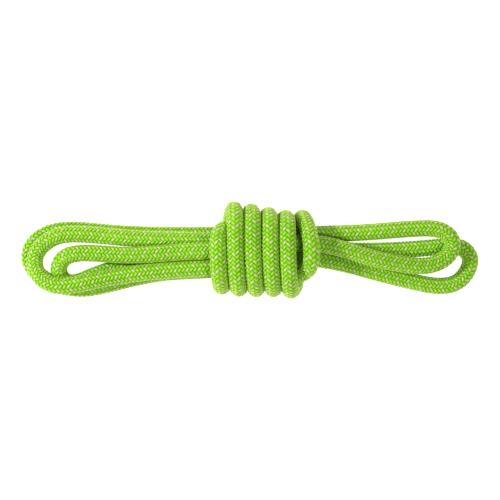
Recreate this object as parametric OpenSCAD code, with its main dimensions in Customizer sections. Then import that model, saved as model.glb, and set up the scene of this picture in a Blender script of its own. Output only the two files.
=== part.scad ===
// Dynamic climbing rope, folded into a short hank and closed with six wrapping turns.
// The rope is one length of kernmantle rope: a hollow braided sheath over seven core strands
// and a marker tape, with a melted plug on each cut end.
// The hank lies along X on the plane Z = 0, with its origin under the middle of its box.
// Three bights stand out on its left (-X) and two on its right (+X).

/* [Rope] */
// Outside diameter of the rope; the whole hank grows and shrinks with it
rope_d = 8.6; // [7.5:0.1:11]
// Wall of the braided sheath as a share of the rope's diameter
sheath_wall_share = 0.105; // [0.08:0.005:0.13]
// Gap between neighbouring core strands as a share of a strand's diameter
strand_gap_share = 0.05; // [0.03:0.01:0.1]

/* [Marker tape] */
// Width of the marker tape as a share of the rope's diameter
tape_w_share = 0.085; // [0.06:0.005:0.09]
// Thickness of the marker tape as a share of the rope's diameter
tape_t_share = 0.018; // [0.012:0.001:0.02]

/* [Melted ends] */
// Length of a melted end plug as a share of the rope's diameter
plug_share = 0.3; // [0.2:0.05:0.5]
// Height of a plug's rounded face as a share of its length
plug_round_share = 0.5; // [0.3:0.1:0.8]

/* [Wrapping turns] */
// Distance from one wrapping turn to the next, in rope diameters
wrap_pitch_share = 1; // [1:0.005:1.05]
// Roundness of a turn: 1 is an ellipse, less is a rounded box
wrap_roundness = 0.8; // [0.75:0.05:0.9]

/* [Facets] */
// Sides of the sheath
sheath_sides = 10; // [8:2:12]
// Sides of each core strand
strand_sides = 5; // [5:1:6]

/* [Hidden] */

// ---- section of the rope ----
sheath_color = "limegreen";
core_color = "ivory";
tape_color = "gold";
seal_color = "darkolivegreen";
rope_r = rope_d / 2;
bore_r = rope_r - sheath_wall_share * rope_d;
// The bore is a polygon, so the core has to fit inside its flats.
core_r = bore_r * cos(180 / sheath_sides) * 0.985;
// One strand in the middle and six round it fill a circle three strand diameters across.
strand_pitch = core_r * 2 / 3;
strand_r = strand_pitch / 2 * (1 - strand_gap_share);
outer_strands = 6;
// The tape lies in the valley between core strands 2 and 3.
tape_angle = 180 / outer_strands;
tape_w = tape_w_share * rope_d;
tape_t = tape_t_share * rope_d;
tape_r = core_r * 0.925;
plug_l = plug_share * rope_d;
plug_round = plug_l * plug_round_share;
plug_segments = 48;

// ---- route of the rope's centreline, in millimetres for a rope of 8.6 mm ----
// Each list holds the guide points of a smooth curve that passes close to all of them.
route_d = 8.6;
route_scale = rope_d / route_d;

// Start inside the turns, out to the left, round the upper outer bight and back
left_outer_upper = [
    [-13, 4.5, 21], [-21, 4.5, 21], [-40, 5, 19.5], [-58, 5.5, 18], [-72, 7, 16.5],
    [-84, 8, 14.5], [-93, 8, 13.5], [-100, 6, 13], [-106, 1, 13], [-108.5, -4.5, 14],
    [-107.5, -11, 15.5], [-103, -16, 18], [-96, -18.5, 20.5], [-88, -17.5, 22],
    [-78, -15.5, 22], [-64, -12.5, 23], [-46, -10.5, 24], [-25, -9, 25], [-10, -8.5, 25],
];
// Through the turns, then the right bight that lies on the ground
right_lower = [
    [7, -4.5, 24.5], [24, -3, 21.5], [38, -5, 19], [52, -8, 15.5], [65, -12, 12],
    [78, -15, 8.5], [90, -18, 6], [98.5, -18.5, 4.5], [105.5, -16.5, 4.3], [110, -11, 4.3],
    [112, -5, 4.3], [109.5, 0, 4.3], [104, 2.5, 4.3], [95, 1.5, 5], [84, 0.5, 6.5],
    [68, -0.5, 8.5], [50, -0.5, 10.5], [34, 0.5, 12.5], [18, 1, 13],
];
// Through the turns again, then the short inner bight on the left
left_inner = [
    [4, 0.5, 14], [-10, -1, 15], [-25, -2.5, 17.5], [-42, -5.5, 16.5], [-57, -7, 15.5],
    [-69, -9.5, 13.5], [-78, -12.5, 12.5], [-84.5, -15.5, 12.5], [-90.5, -17, 12.5],
    [-95, -14.5, 13], [-96.5, -9, 14], [-94, -4, 15], [-88, -1.5, 17], [-77, -1.5, 19.5],
    [-62, -3, 22], [-46, -2, 25], [-28, -0.5, 27], [-8, -0.5, 28],
];
// Through the turns a third time, then the right bight that lies on top
right_upper = [
    [8, 3.5, 27.5], [24, 3.5, 26.5], [38, 3, 25.5], [50, -0.5, 24], [62, -4.5, 21],
    [75, -7, 18], [86, -8.5, 15], [94, -7, 13.5], [100, -3, 13], [102.5, 2.5, 13],
    [100, 8, 13], [94, 11, 13], [85, 11, 14], [72, 10, 15.5], [54, 8.5, 17.5], [36, 8, 18.5],
];
// Back inside the turns and up between the first and the second of them
into_turns = [
    [18, 7, 19], [4, 9, 20], [-4, 10.5, 22], [-11, 11.5, 25.5], [-15.5, 9.5, 32],
];
// Down the last turn, under the fifth one and back inside to the left
out_of_turns = [
    [29.5, 8.5, 34], [30.5, 1, 37], [30.5, -5, 36], [29, -10, 31], [25, -12.5, 25],
    [19, -11.5, 19], [10, -10, 17], [-2, -9, 16.5], [-12, -9, 17],
];
// The lower outer bight on the left, which lies on the ground, and the end inside the turns
left_outer_lower = [
    [-26, -10.5, 12], [-44, -11, 8], [-60, -14.5, 6], [-72, -17.5, 4.5], [-83, -20, 4.3],
    [-93, -19, 4.3], [-101.5, -16.5, 4.3], [-108.5, -11.5, 4.3], [-112, -5, 4.3],
    [-111, 1.5, 4.3], [-106, 7, 4.3], [-98, 10, 4.3], [-89, 10.5, 4.5], [-78, 9.5, 5.5],
    [-62, 8, 7.5], [-42, 7.5, 10], [-22, 7.5, 13.5], [-10, 7.5, 13.5],
];

// ---- wrapping turns ----
wrap_points_per_turn = 12;
wrap_points = 58;
wrap_start_x = -15.9;
wrap_middle_z = 20.7;
wrap_half_depth = 17;
wrap_pitch = wrap_pitch_share * route_d;
// Half heights of the turns above and below the hank's middle line
wrap_up = [20.9, 19.8, 18, 16.5, 17.2];
wrap_down = [18.8, 19.9, 20.1, 20.1, 20.8];
// How far a turn leans along X at its highest and lowest points
lean_up = 1.5;
lean_down = 0.3;
// How far the fifth turn swings out along X as it goes round behind
swing = 1.5;
swing_turns = [4.3, 4.5];

function rounded(v) = sign(v) * pow(abs(v), wrap_roundness);

// A guide point of the turns; each turn runs down in front and up behind.
function wrap_point(turns) =
    let (
        angle = 360 * turns,
        turn = floor(turns),
        down = sin(angle) > 0,
        half_height = down ? wrap_down[turn] : wrap_up[turn],
        lean = down ? lean_down : lean_up,
        swung = turns > swing_turns[0] && turns < swing_turns[1] ? swing : 0
    )
    [
        wrap_start_x + wrap_pitch * turns - lean * sin(angle) + swung,
        -half_height * rounded(sin(angle)),
        wrap_middle_z + wrap_half_depth * rounded(cos(angle)),
    ];

wraps = [for (i = [0 : wrap_points - 1]) wrap_point(i / wrap_points_per_turn)];

guides = route_scale * concat(
    left_outer_upper, right_lower, left_inner, right_upper,
    into_turns, wraps, out_of_turns, left_outer_lower
);
last = len(guides) - 1;

// ---- smooth centreline and the frame of each ring ----
// A guide point beyond each end makes the curve start and finish exactly on its end points.
function guide(i) =
    i < 0 ? 2 * guides[0] - guides[1] :
    i > last ? 2 * guides[last] - guides[last - 1] :
    guides[i];
function unit(v) = v / norm(v);
function centre(i) = (guide(i - 1) + 4 * guide(i) + guide(i + 1)) / 6;
function heading(i) = unit(guide(i + 1) - guide(i - 1));
function square_to(v, axis) = unit(v - (v * axis) * axis);

// Each ring's side direction is the one before, turned as little as possible.
sides = [
    for (i = 0, side = square_to([0, 0, 1], heading(0));
         i <= last;
         i = i + 1, side = i <= last ? square_to(side, heading(i)) : side)
    side
];

function ring(i, section) =
    let (side = sides[i], up = cross(heading(i), side))
    [for (p = section) centre(i) + p[0] * side + p[1] * up];

function circle_section(r, n, at = [0, 0]) =
    [for (k = [0 : n - 1]) at + r * [cos(360 * k / n), sin(360 * k / n)]];

// Triangles between two rings of n points that start at a and b
function band(a, b, n, outward) = [
    for (k = [0 : n - 1])
    let (next = (k + 1) % n)
    each outward
        ? [[a + k, b + k, b + next], [a + k, b + next, a + next]]
        : [[a + k, b + next, b + k], [a + k, a + next, b + next]]
];

// A solid bar with the given section along the whole route
module swept_bar(section) {
    n = len(section);
    points = [for (i = [0 : last]) each ring(i, section)];
    start_face = [for (k = [0 : n - 1]) k];
    end_face = [for (k = [n - 1 : -1 : 0]) last * n + k];
    walls = [for (i = [0 : last - 1]) each band(i * n, (i + 1) * n, n, true)];
    polyhedron(points, concat([start_face], walls, [end_face]), convexity = 20);
}

// A tube with the given outer and inner sections, which have as many points as each other
module swept_tube(outer, inner) {
    n = len(outer);
    inner_start = (last + 1) * n;
    points = [
        for (section = [outer, inner]) for (i = [0 : last]) each ring(i, section)
    ];
    outer_walls = [for (i = [0 : last - 1]) each band(i * n, (i + 1) * n, n, true)];
    inner_walls = [
        for (i = [0 : last - 1])
        each band(inner_start + i * n, inner_start + (i + 1) * n, n, false)
    ];
    start_rim = band(inner_start, 0, n, true);
    end_rim = band(last * n, inner_start + last * n, n, true);
    polyhedron(points, concat(outer_walls, inner_walls, start_rim, end_rim), convexity = 20);
}

// ---- pieces ----
module sheath() {
    color(sheath_color)
    swept_tube(circle_section(rope_r, sheath_sides), circle_section(bore_r, sheath_sides));
}

// Strand 1 is in the middle and strands 2 to 7 are round it.
module core_strand(number) {
    angle = 360 * (number - 2) / outer_strands;
    at = number == 1 ? [0, 0] : strand_pitch * [cos(angle), sin(angle)];
    color(core_color)
    swept_bar(circle_section(strand_r, strand_sides, at));
}

module marker_tape() {
    across = [-sin(tape_angle), cos(tape_angle)];
    outward = [cos(tape_angle), sin(tape_angle)];
    color(tape_color)
    swept_bar([
        (tape_r - tape_t) * outward - tape_w / 2 * across,
        tape_r * outward - tape_w / 2 * across,
        tape_r * outward + tape_w / 2 * across,
        (tape_r - tape_t) * outward + tape_w / 2 * across,
    ]);
}

// A melted plug: a short cylinder with a rounded outer face, on the plane of the cut
module plug() {
    rotate_extrude($fn = plug_segments)
    polygon([
        [0, 0],
        [rope_r, 0],
        [rope_r, plug_l - plug_round],
        for (a = [15 : 15 : 75])
        [
            rope_r - plug_round * (1 - cos(a)),
            plug_l - plug_round * (1 - sin(a)),
        ],
        [rope_r - plug_round, plug_l],
        [0, plug_l],
    ]);
}

module sealed_end_start() {
    color(seal_color)
    translate(guides[0])
    rotate([0, 90, 0])
    plug();
}

module sealed_end_finish() {
    color(seal_color)
    translate(guides[last])
    rotate([0, 90, 0])
    plug();
}

sheath();
core_strand(1);  // core_strand_1
core_strand(2);  // core_strand_2
core_strand(3);  // core_strand_3
core_strand(4);  // core_strand_4
core_strand(5);  // core_strand_5
core_strand(6);  // core_strand_6
core_strand(7);  // core_strand_7
marker_tape();
sealed_end_start();
sealed_end_finish();
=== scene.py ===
"""Dynamic climbing rope, folded into a short hank and closed with six wrapping turns.

The sheath is braided in code: 24 yarns, 12 each way, each over two and under two. Every yarn is
a closed bar swept along its own path round the rope's centreline.
"""

import math

import bpy
import numpy as np
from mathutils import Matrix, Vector


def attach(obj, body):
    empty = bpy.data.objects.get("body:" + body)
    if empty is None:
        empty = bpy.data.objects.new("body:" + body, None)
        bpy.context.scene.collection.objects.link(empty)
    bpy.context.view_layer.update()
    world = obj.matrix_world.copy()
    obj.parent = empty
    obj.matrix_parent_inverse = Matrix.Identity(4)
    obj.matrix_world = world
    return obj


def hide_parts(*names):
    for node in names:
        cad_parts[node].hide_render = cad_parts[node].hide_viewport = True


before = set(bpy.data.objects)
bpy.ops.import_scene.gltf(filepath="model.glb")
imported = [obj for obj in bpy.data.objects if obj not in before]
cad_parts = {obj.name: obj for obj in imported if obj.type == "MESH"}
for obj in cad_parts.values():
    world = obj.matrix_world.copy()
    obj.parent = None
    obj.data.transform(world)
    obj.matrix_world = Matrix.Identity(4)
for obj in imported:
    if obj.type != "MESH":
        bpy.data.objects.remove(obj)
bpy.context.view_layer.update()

MM = 0.001
BODY = "root"

# ---- camera: straight above the hank, as in the photograph ----
IMAGE_SIDE_M = 0.25  # what the picture shows from edge to edge, at the height of the rope
CAMERA_HEIGHT = 1.3
SHARP_HEIGHT = 0.018


def make_camera():
    data = bpy.data.cameras.new("camera")
    data.sensor_width = 36
    data.lens = data.sensor_width * (CAMERA_HEIGHT - SHARP_HEIGHT) / IMAGE_SIDE_M
    data.clip_end = 20
    camera = bpy.data.objects.new("camera", data)
    camera.location = (0, 0, CAMERA_HEIGHT)
    bpy.context.scene.collection.objects.link(camera)
    bpy.context.scene.camera = camera


make_camera()

# ---- route of the rope's centreline, in millimetres: the guide points of part.scad ----
ROPE_D = 8.6
left_outer_upper = [
    (-13, 4.5, 21), (-21, 4.5, 21), (-40, 5, 19.5), (-58, 5.5, 18), (-72, 7, 16.5), (-84, 8, 14.5),
    (-93, 8, 13.5), (-100, 6, 13), (-106, 1, 13), (-108.5, -4.5, 14), (-107.5, -11, 15.5),
    (-103, -16, 18), (-96, -18.5, 20.5), (-88, -17.5, 22), (-78, -15.5, 22), (-64, -12.5, 23),
    (-46, -10.5, 24), (-25, -9, 25), (-10, -8.5, 25),
]
right_lower = [
    (7, -4.5, 24.5), (24, -3, 21.5), (38, -5, 19), (52, -8, 15.5), (65, -12, 12), (78, -15, 8.5),
    (90, -18, 6), (98.5, -18.5, 4.5), (105.5, -16.5, 4.3), (110, -11, 4.3), (112, -5, 4.3),
    (109.5, 0, 4.3), (104, 2.5, 4.3), (95, 1.5, 5), (84, 0.5, 6.5), (68, -0.5, 8.5),
    (50, -0.5, 10.5), (34, 0.5, 12.5), (18, 1, 13),
]
left_inner = [
    (4, 0.5, 14), (-10, -1, 15), (-25, -2.5, 17.5), (-42, -5.5, 16.5), (-57, -7, 15.5),
    (-69, -9.5, 13.5), (-78, -12.5, 12.5), (-84.5, -15.5, 12.5), (-90.5, -17, 12.5),
    (-95, -14.5, 13), (-96.5, -9, 14), (-94, -4, 15), (-88, -1.5, 17), (-77, -1.5, 19.5),
    (-62, -3, 22), (-46, -2, 25), (-28, -0.5, 27), (-8, -0.5, 28),
]
right_upper = [
    (8, 3.5, 27.5), (24, 3.5, 26.5), (38, 3, 25.5), (50, -0.5, 24), (62, -4.5, 21), (75, -7, 18),
    (86, -8.5, 15), (94, -7, 13.5), (100, -3, 13), (102.5, 2.5, 13), (100, 8, 13), (94, 11, 13),
    (85, 11, 14), (72, 10, 15.5), (54, 8.5, 17.5), (36, 8, 18.5),
]
into_turns = [
    (18, 7, 19), (4, 9, 20), (-4, 10.5, 22), (-11, 11.5, 25.5), (-15.5, 9.5, 32),
]
out_of_turns = [
    (29.5, 8.5, 34), (30.5, 1, 37), (30.5, -5, 36), (29, -10, 31), (25, -12.5, 25),
    (19, -11.5, 19), (10, -10, 17), (-2, -9, 16.5), (-12, -9, 17),
]
left_outer_lower = [
    (-26, -10.5, 12), (-44, -11, 8), (-60, -14.5, 6), (-72, -17.5, 4.5), (-83, -20, 4.3),
    (-93, -19, 4.3), (-101.5, -16.5, 4.3), (-108.5, -11.5, 4.3), (-112, -5, 4.3), (-111, 1.5, 4.3),
    (-106, 7, 4.3), (-98, 10, 4.3), (-89, 10.5, 4.5), (-78, 9.5, 5.5), (-62, 8, 7.5),
    (-42, 7.5, 10), (-22, 7.5, 13.5), (-10, 7.5, 13.5),
]

WRAP_POINTS_PER_TURN = 12
WRAP_POINTS = 58
WRAP_START_X = -15.9
WRAP_MIDDLE_Z = 20.7
WRAP_HALF_DEPTH = 17
WRAP_PITCH = ROPE_D
WRAP_ROUNDNESS = 0.8
WRAP_UP = (20.9, 19.8, 18, 16.5, 17.2)
WRAP_DOWN = (18.8, 19.9, 20.1, 20.1, 20.8)
LEAN_UP = 1.5
LEAN_DOWN = 0.3
SWING = 1.5
SWING_TURNS = (4.3, 4.5)


def wrap_point(turns):
    """A guide point of the wrapping turns; each turn runs down in front and up behind."""
    s, c = math.sin(2 * math.pi * turns), math.cos(2 * math.pi * turns)
    half_height = (WRAP_DOWN if s > 0 else WRAP_UP)[int(turns)]
    lean = LEAN_DOWN if s > 0 else LEAN_UP
    swung = SWING if SWING_TURNS[0] < turns < SWING_TURNS[1] else 0
    return (
        WRAP_START_X + WRAP_PITCH * turns - lean * s + swung,
        -half_height * math.copysign(abs(s) ** WRAP_ROUNDNESS, s),
        WRAP_MIDDLE_Z + WRAP_HALF_DEPTH * math.copysign(abs(c) ** WRAP_ROUNDNESS, c),
    )


wraps = [wrap_point(i / WRAP_POINTS_PER_TURN) for i in range(WRAP_POINTS)]
guides = np.array(
    left_outer_upper + right_lower + left_inner + right_upper
    + into_turns + wraps + out_of_turns + left_outer_lower
)


def smooth_curve(points, per_span):
    """The uniform cubic B-spline of the guide points, which starts and ends on its end points."""
    p = np.vstack([2 * points[0] - points[1], points, 2 * points[-1] - points[-2]])
    t = np.arange(per_span)[:, None] / per_span
    weights = np.hstack([
        (1 - t) ** 3, 3 * t**3 - 6 * t**2 + 4, -3 * t**3 + 3 * t**2 + 3 * t + 1, t**3,
    ]) / 6
    spans = [weights @ p[i : i + 4] for i in range(len(p) - 3)]
    return np.vstack(spans + [points[-1:]])


def unit(v):
    return v / np.linalg.norm(v, axis=-1, keepdims=True)


class Line:
    """A centreline as evenly spaced rings, each with a side and an up direction."""

    def __init__(self, dense, step):
        gaps = np.linalg.norm(np.diff(dense, axis=0), axis=1)
        along = np.concatenate([[0], np.cumsum(gaps)])
        self.length = along[-1]
        count = int(round(self.length / step)) + 1
        self.s = np.linspace(0, self.length, count)
        self.at = np.stack([np.interp(self.s, along, dense[:, k]) for k in range(3)], axis=1)
        self.heading = unit(np.gradient(self.at, self.s, axis=0))
        sides = np.empty_like(self.at)
        side = np.array([0.0, 0.0, 1.0])
        for i, h in enumerate(self.heading):
            side = side - (side @ h) * h
            side /= np.linalg.norm(side)
            sides[i] = side
        self.side = sides
        self.up = np.cross(self.heading, sides)
        self.bend = np.gradient(self.heading, self.s, axis=0)


# ---- the braid ----
CARRIERS_EACH_WAY = 12
LAY_LENGTH = 2.77 * ROPE_D  # the length of rope in which a yarn goes once round it
CROSSING = LAY_LENGTH / (2 * CARRIERS_EACH_WAY)
FLOAT = 4  # a yarn goes over two and under two, so its wave is four crossings long
RINGS_PER_WAVE = 10
YARN_HALF_WIDTH = 0.69
YARN_HALF_THICKNESS = 0.44
WAVE = 0.32
MIDDLE_RADIUS = 3.56
YARN_ANGLES = (-8, 35, 90, 145, 188, 270)
TRACER_EVERY = 3
CROWN_V = 2 / len(YARN_ANGLES)  # the third corner of a yarn's section is its crown
BAND_SKEW = 0.1
WAVE_STEEPNESS = 0.8
WIDTH_FROM_STRETCH = 0.65  # how much of a yarn's width follows the stretch of its side of a bend
WIDTH_LIMITS = (0.45, 1.5)
CROWN_WIDENING = 0.06
STEPS_PER_GUIDE = 60
COARSE_STEP = 1.6

dense_curve = smooth_curve(guides, STEPS_PER_GUIDE)
rope = Line(dense_curve, FLOAT * CROSSING / RINGS_PER_WAVE)
coarse = Line(dense_curve, COARSE_STEP)


def yarn_wave(crossings):
    """Height of a yarn from -1, under, to 1, over, with flattened tops."""
    swing = np.cos(2 * math.pi * crossings / FLOAT)
    return np.tanh(WAVE_STEEPNESS * swing) / math.tanh(WAVE_STEEPNESS)


def yarn_rings(line, number, way):
    """One yarn: its rings, as an array of rings, by points of a ring, by 3, and their waves."""
    turn = 2 * math.pi * (line.s / LAY_LENGTH * way + number / CARRIERS_EACH_WAY)
    crossed = line.s / CROSSING
    # The two ways are set half a wave apart, so that one is over where the other is under.
    if way > 0:
        phase = crossed + 2 * number - 0.5
    else:
        phase = 2 * number - crossed - 2.5
    wave = yarn_wave(phase)
    out = np.cos(turn)[:, None] * line.side + np.sin(turn)[:, None] * line.up
    radius = MIDDLE_RADIUS + WAVE * wave
    middle = line.at + radius[:, None] * out
    # Along the outside of a bend the rope is longer, and along the inside it is shorter.
    stretch = 1 - (line.bend * out).sum(axis=1) * radius
    along = unit(np.gradient(middle, line.s, axis=0))
    wide = unit(np.cross(along, out))
    high = np.cross(wide, along)
    share = 1 - WIDTH_FROM_STRETCH + WIDTH_FROM_STRETCH * stretch
    width = YARN_HALF_WIDTH * np.clip(share, *WIDTH_LIMITS)
    width = width * (1 - CROWN_WIDENING + CROWN_WIDENING * wave)
    angles = np.radians(YARN_ANGLES)
    rings = (
        middle[:, None]
        + (np.cos(angles)[None, :, None] * width[:, None, None] * wide[:, None])
        + (np.sin(angles)[None, :, None] * YARN_HALF_THICKNESS * high[:, None])
    )
    return rings, phase * way / FLOAT, BAND_SKEW * way


def wall_faces(count, n, start):
    """The quads between the rings of one bar, whose first vertex is start."""
    i = np.arange(count - 1)[:, None]
    k = np.arange(n)[None, :]
    after = (k + 1) % n
    quads = [i * n + k, i * n + after, (i + 1) * n + after, (i + 1) * n + k]
    return np.stack(quads, axis=-1).reshape(-1, 4) + start


def wall_uvs(places, skew, n):
    """The UV of every corner of those quads, along the bar and round it."""
    k = np.arange(n)[None, :]
    start_place, end_place = places[:-1, None], places[1:, None]
    v0, v1 = k / n, (k + 1) / n
    shape = (len(places) - 1, n)
    corners = [
        np.stack([place + skew * (v - CROWN_V), np.broadcast_to(v, shape)], axis=-1)
        for place, v in ((start_place, v0), (start_place, v1), (end_place, v1), (end_place, v0))
    ]
    return np.stack(corners, axis=2).reshape(-1, 2)


def bars_mesh(name, bars):
    """One mesh of closed bars: each is its rings, their places along it, and the skew of its UV.

    The UV runs along and round each bar. A skewed UV turns the painted highlight and painted
    shade bands on a yarn a little towards square with the rope.
    """
    verts, faces, uvs, ends = [], [], [], []
    start = 0
    for rings, places, skew in bars:
        count, n = rings.shape[:2]
        verts.append(rings.reshape(-1, 3))
        faces.append(wall_faces(count, n, start))
        uvs.append(wall_uvs(places, skew, n))
        ends.append([start + k for k in reversed(range(n))])
        ends.append([start + (count - 1) * n + k for k in range(n)])
        start += count * n
    verts = np.concatenate(verts) * MM
    faces = np.concatenate(faces)
    uvs = np.concatenate(uvs)
    mesh = bpy.data.meshes.new(name)
    quad_count = len(faces)
    cap_corners = sum(len(e) for e in ends)
    mesh.vertices.add(len(verts))
    mesh.vertices.foreach_set("co", verts.ravel())
    mesh.loops.add(quad_count * 4 + cap_corners)
    corners = np.concatenate([faces.ravel(), np.array([v for e in ends for v in e], int)])
    mesh.loops.foreach_set("vertex_index", corners.astype(np.int32))
    mesh.polygons.add(quad_count + len(ends))
    sizes = np.array([4] * quad_count + [len(e) for e in ends])
    begins = np.concatenate([[0], np.cumsum(sizes)[:-1]])
    mesh.polygons.foreach_set("loop_start", begins.astype(np.int32))
    mesh.update(calc_edges=True)
    layer = mesh.uv_layers.new(name="along")
    cap_uvs = np.zeros((cap_corners, 2))
    layer.data.foreach_set("uv", np.concatenate([uvs, cap_uvs]).ravel())
    mesh.polygons.foreach_set("use_smooth", np.ones(len(sizes), bool))
    mesh.validate()
    return mesh


def add_piece(name, mesh, material):
    piece = bpy.data.objects.new(name, mesh)
    bpy.context.scene.collection.objects.link(piece)
    piece.data.materials.append(material)
    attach(piece, BODY)
    return piece


# ---- materials ----
def new_material(name):
    material = bpy.data.materials.new(name)
    material.use_nodes = True
    tree = material.node_tree
    return material, tree, tree.nodes["Principled BSDF"]


def add_node(tree, kind, inputs=None, **settings):
    node = tree.nodes.new(kind)
    for key, value in settings.items():
        setattr(node, key, value)
    for key, value in (inputs or {}).items():
        node.inputs[key].default_value = value
    return node


def ramp(tree, stops):
    node = tree.nodes.new("ShaderNodeValToRGB")
    elements = node.color_ramp.elements
    while len(elements) < len(stops):
        elements.new(0.5)
    for element, (position, colour) in zip(elements, stops):
        element.position = position
        element.color = (*colour, 1)
    return node


FILAMENT_SCALE = (3.6, 26, 1)  # noise cells in one wave along a yarn, and once round it
CROWN_NARROW, CROWN_WIDE = 0.05, 0.2  # where round a yarn its painted highlight starts to fade and ends


def yarn_material(name, dive_shade, dark, middle, light, crown_highlight):
    """Filaments along a yarn, with painted shade where it dives under the others and a painted
    highlight on its crowns.
    """
    material, tree, shader = new_material(name)
    link = tree.links.new
    uv = add_node(tree, "ShaderNodeUVMap", uv_map="along")
    stretch = add_node(tree, "ShaderNodeMapping", {"Scale": FILAMENT_SCALE})
    link(uv.outputs["UV"], stretch.inputs["Vector"])
    filaments = add_node(tree, "ShaderNodeTexNoise", {"Scale": 1.0, "Detail": 3.0, "Roughness": 0.6})
    link(stretch.outputs["Vector"], filaments.inputs["Vector"])
    place = add_node(tree, "ShaderNodeTexCoord")
    patches = add_node(tree, "ShaderNodeTexNoise", {"Scale": 55.0, "Detail": 2.0})
    link(place.outputs["Object"], patches.inputs["Vector"])
    both = add_node(tree, "ShaderNodeMix", {"Factor": 0.35}, data_type="FLOAT")
    link(filaments.outputs["Fac"], both.inputs["A"])
    link(patches.outputs["Fac"], both.inputs["B"])
    shades = ramp(tree, [(0.3, dark), (0.5, middle), (0.7, light)])
    link(both.outputs["Result"], shades.inputs["Fac"])
    # The first UV coordinate counts the yarn's waves: a whole number is the top of a crown.
    parts = add_node(tree, "ShaderNodeSeparateXYZ")
    link(uv.outputs["UV"], parts.inputs["Vector"])
    angle = add_node(tree, "ShaderNodeMath", {1: 2 * math.pi}, operation="MULTIPLY")
    link(parts.outputs["X"], angle.inputs[0])
    height = add_node(tree, "ShaderNodeMath", operation="COSINE")
    link(angle.outputs["Value"], height.inputs[0])
    # Painted shade: the colour darkens where the yarn dives under the others.
    shade_amount = add_node(
        tree, "ShaderNodeMapRange", {"From Min": -0.4, "From Max": 0.5, "To Min": 0.35, "To Max": 0.0}
    )
    link(height.outputs["Value"], shade_amount.inputs["Value"])
    shaded = add_node(tree, "ShaderNodeMix", data_type="RGBA")
    shaded.inputs["B"].default_value = (*dive_shade, 1)
    link(shade_amount.outputs["Result"], shaded.inputs["Factor"])
    link(shades.outputs["Color"], shaded.inputs["A"])
    # Painted highlight: a pale spot on the top of each crown, in the middle of the yarn's width.
    topmost = add_node(
        tree, "ShaderNodeMapRange", {"From Min": 0.5, "From Max": 0.95, "To Min": 0.0, "To Max": 0.6}
    )
    link(height.outputs["Value"], topmost.inputs["Value"])
    aside = add_node(tree, "ShaderNodeMath", {1: CROWN_V}, operation="SUBTRACT")
    link(parts.outputs["Y"], aside.inputs[0])
    distance = add_node(tree, "ShaderNodeMath", operation="ABSOLUTE")
    link(aside.outputs["Value"], distance.inputs[0])
    fade = {"From Min": CROWN_NARROW, "From Max": CROWN_WIDE, "To Min": 1.0, "To Max": 0.0}
    central = add_node(tree, "ShaderNodeMapRange", fade)
    link(distance.outputs["Value"], central.inputs["Value"])
    highlight_amount = add_node(tree, "ShaderNodeMath", operation="MULTIPLY")
    link(topmost.outputs["Result"], highlight_amount.inputs[0])
    link(central.outputs["Result"], highlight_amount.inputs[1])
    colour = add_node(tree, "ShaderNodeMix", data_type="RGBA")
    colour.inputs["B"].default_value = (*crown_highlight, 1)
    link(highlight_amount.outputs["Value"], colour.inputs["Factor"])
    link(shaded.outputs["Result"], colour.inputs["A"])
    link(colour.outputs["Result"], shader.inputs["Base Color"])
    bump = add_node(tree, "ShaderNodeBump", {"Strength": 0.35, "Distance": 0.00012})
    link(filaments.outputs["Fac"], bump.inputs["Height"])
    link(bump.outputs["Normal"], shader.inputs["Normal"])
    shader.inputs["Roughness"].default_value = 0.4
    shader.inputs["Specular Tint"].default_value = (*crown_highlight, 1)
    shader.inputs["Sheen Weight"].default_value = 1.0
    shader.inputs["Sheen Roughness"].default_value = 0.4
    shader.inputs["Sheen Tint"].default_value = (1.0, 0.9, 0.15, 1)
    return material


def plain_fibre_material(name, dark, light, roughness, scale):
    material, tree, shader = new_material(name)
    place = add_node(tree, "ShaderNodeTexCoord")
    noise = add_node(tree, "ShaderNodeTexNoise", {"Scale": scale, "Detail": 4.0})
    tree.links.new(place.outputs["Object"], noise.inputs["Vector"])
    shades = ramp(tree, [(0.35, dark), (0.65, light)])
    tree.links.new(noise.outputs["Fac"], shades.inputs["Fac"])
    tree.links.new(shades.outputs["Color"], shader.inputs["Base Color"])
    shader.inputs["Roughness"].default_value = roughness
    return material


# The first colour of each yarn is painted shade where it dives, and the last is a painted highlight
# on its crowns.
green_yarn = yarn_material(
    "green_yarn", (0.04, 0.27, 0.001), (0.075, 0.36, 0.001), (0.15, 0.50, 0.002),
    (0.26, 0.67, 0.01), (0.47, 0.86, 0.08),
)
tracer_yarn = yarn_material(
    "tracer_yarn", (0.10, 0.26, 0.012), (0.19, 0.34, 0.03), (0.29, 0.46, 0.07),
    (0.42, 0.59, 0.14), (0.70, 0.85, 0.34),
)
# A dark tube under the yarns: it closes the sheath over the core, and its dark green is painted shade
# in the gaps between the yarns.
gap_shade = plain_fibre_material("sheath_gap_shade", (0.02, 0.08, 0.001), (0.04, 0.14, 0.002), 0.8, 900)
core_yarn = plain_fibre_material("core_yarn", (0.70, 0.69, 0.64), (0.88, 0.87, 0.82), 0.7, 700)
tape_plastic = plain_fibre_material("tape_plastic", (0.72, 0.52, 0.05), (0.88, 0.70, 0.14), 0.35, 300)
melted_nylon = plain_fibre_material("melted_nylon", (0.05, 0.16, 0.01), (0.14, 0.34, 0.03), 0.25, 500)

# ---- the rope ----
GAP_SHADE_RADIUS = 3.35
GAP_SHADE_SIDES = 16
CORE_STRAND_PITCH = 2.12
CORE_STRAND_RADIUS = 1.0
CORE_STRAND_SIDES = 8
OUTER_STRANDS = 6
CORE_LAY_LENGTH = 36.0
TAPE_OUTSIDE = 2.94
TAPE_WIDTH = 0.73
TAPE_THICKNESS = 0.15
TAPE_ANGLE = math.pi / OUTER_STRANDS


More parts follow.
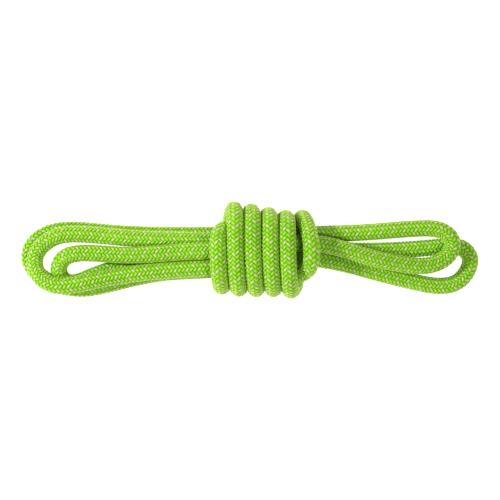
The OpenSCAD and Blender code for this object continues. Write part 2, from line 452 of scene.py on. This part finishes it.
def swept_rings(line, section, lay_length=None):
    """A section, as points across the line, swept along it and twisted once in each lay."""
    turn = 2 * math.pi * line.s / lay_length if lay_length else np.zeros(len(line.s))
    x, y = np.array(section).T
    across = np.cos(turn)[:, None] * x - np.sin(turn)[:, None] * y
    upward = np.sin(turn)[:, None] * x + np.cos(turn)[:, None] * y
    return (
        line.at[:, None]
        + across[:, :, None] * line.side[:, None]
        + upward[:, :, None] * line.up[:, None]
    )


def round_section(radius, sides, distance=0.0, angle=0.0):
    middle = (distance * math.cos(angle), distance * math.sin(angle))
    corners = [2 * math.pi * k / sides for k in range(sides)]
    return [(middle[0] + radius * math.cos(a), middle[1] + radius * math.sin(a)) for a in corners]


# The dark tube under the yarns, whose colour is painted shade in the gaps of the braid.
def make_gap_shade():
    rings = swept_rings(coarse, round_section(GAP_SHADE_RADIUS, GAP_SHADE_SIDES))
    mesh = bars_mesh("sheath_gap_shade", [(rings, coarse.s, 0)])
    return add_piece("sheath_gap_shade", mesh, gap_shade)


def is_tracer(number):
    return number % TRACER_EVERY == 0


def make_yarns():
    """The 24 yarns, a pair that runs both ways to each piece."""
    made = []
    counts = {"green": 0, "tracer": 0}
    for number in range(CARRIERS_EACH_WAY):
        colour = "tracer" if is_tracer(number) else "green"
        counts[colour] += 1
        bars = [yarn_rings(rope, number, way) for way in (1, -1)]
        name = f"sheath_{colour}_yarns_{counts[colour]}"
        mesh = bars_mesh(name, bars)
        material = tracer_yarn if is_tracer(number) else green_yarn
        made.append(add_piece(name, mesh, material))
    return made


def make_core_strand(number):
    """One twisted core strand: number 1 is straight, and the others go round it."""
    node = f"core_strand_{number}"
    distance = 0.0 if number == 1 else CORE_STRAND_PITCH
    angle = 2 * math.pi / OUTER_STRANDS * (number - 2)
    section = round_section(CORE_STRAND_RADIUS, CORE_STRAND_SIDES, distance, angle)
    rings = swept_rings(coarse, section, CORE_LAY_LENGTH)
    mesh = bars_mesh(node, [(rings, coarse.s, 0)])
    strand = add_piece(f"twisted_{node}", mesh, core_yarn)
    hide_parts(node)
    return strand


def make_tape():
    """The marker tape, in the valley between the second and the third strand."""
    outward = (math.cos(TAPE_ANGLE), math.sin(TAPE_ANGLE))
    across = (-outward[1], outward[0])
    inside = TAPE_OUTSIDE - TAPE_THICKNESS
    corners = [(inside, -1), (TAPE_OUTSIDE, -1), (TAPE_OUTSIDE, 1), (inside, 1)]
    section = [
        tuple(r * outward[k] + side * TAPE_WIDTH / 2 * across[k] for k in range(2))
        for r, side in corners
    ]
    rings = swept_rings(coarse, section, CORE_LAY_LENGTH)
    mesh = bars_mesh("tape", [(rings, coarse.s, 0)])
    tape = add_piece("tape_in_core", mesh, tape_plastic)
    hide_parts("marker_tape")
    return tape


gap_shade_piece = make_gap_shade()
yarn_pieces = make_yarns()
core_pieces = [make_core_strand(number) for number in range(1, OUTER_STRANDS + 2)]
core_pieces.append(make_tape())
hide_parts("sheath")
ends = ["sealed_end_start", "sealed_end_finish"]


# ---- the melted ends ----
def restyle(node, material):
    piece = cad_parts[node]
    piece.data.materials.clear()
    piece.data.materials.append(material)


for node in ends:
    restyle(node, melted_nylon)


# ---- floor and light ----
FLOOR_HALF_SIDE = 3.0


def make_floor():
    mesh = bpy.data.meshes.new("floor")
    half = FLOOR_HALF_SIDE
    corners = [(-half, -half, 0), (half, -half, 0), (half, half, 0), (-half, half, 0)]
    mesh.from_pydata(corners, [], [(0, 1, 2, 3)])
    floor = bpy.data.objects.new("floor", mesh)
    bpy.context.scene.collection.objects.link(floor)
    material, _, shader = new_material("floor")
    shader.inputs["Base Color"].default_value = (0.6, 0.6, 0.6, 1)
    shader.inputs["Roughness"].default_value = 0.9
    shader.inputs["Emission Color"].default_value = (1, 1, 1, 1)
    shader.inputs["Emission Strength"].default_value = 0.92
    mesh.materials.append(material)


def add_area(name, place, target, size, power):
    data = bpy.data.lights.new(name, "AREA")
    data.shape = "DISK"
    data.size = size
    data.energy = power
    light = bpy.data.objects.new(name, data)
    light.location = place
    light.rotation_euler = (Vector(target) - Vector(place)).to_track_quat("-Z", "Y").to_euler()
    bpy.context.scene.collection.objects.link(light)


def make_light():
    add_area("key", (-1.05, 0.3, 0.95), (0, 0, 0), 0.2, 19)
    add_area("fill", (0.5, -0.5, 1.3), (0, 0, 0), 0.3, 9)
    world = bpy.data.worlds.new("world")
    world.use_nodes = True
    background = world.node_tree.nodes["Background"]
    background.inputs["Color"].default_value = (1, 1, 1, 1)
    background.inputs["Strength"].default_value = 0.25
    bpy.context.scene.world = world


make_floor()
make_light()
bpy.context.scene.view_settings.view_transform = "Standard"
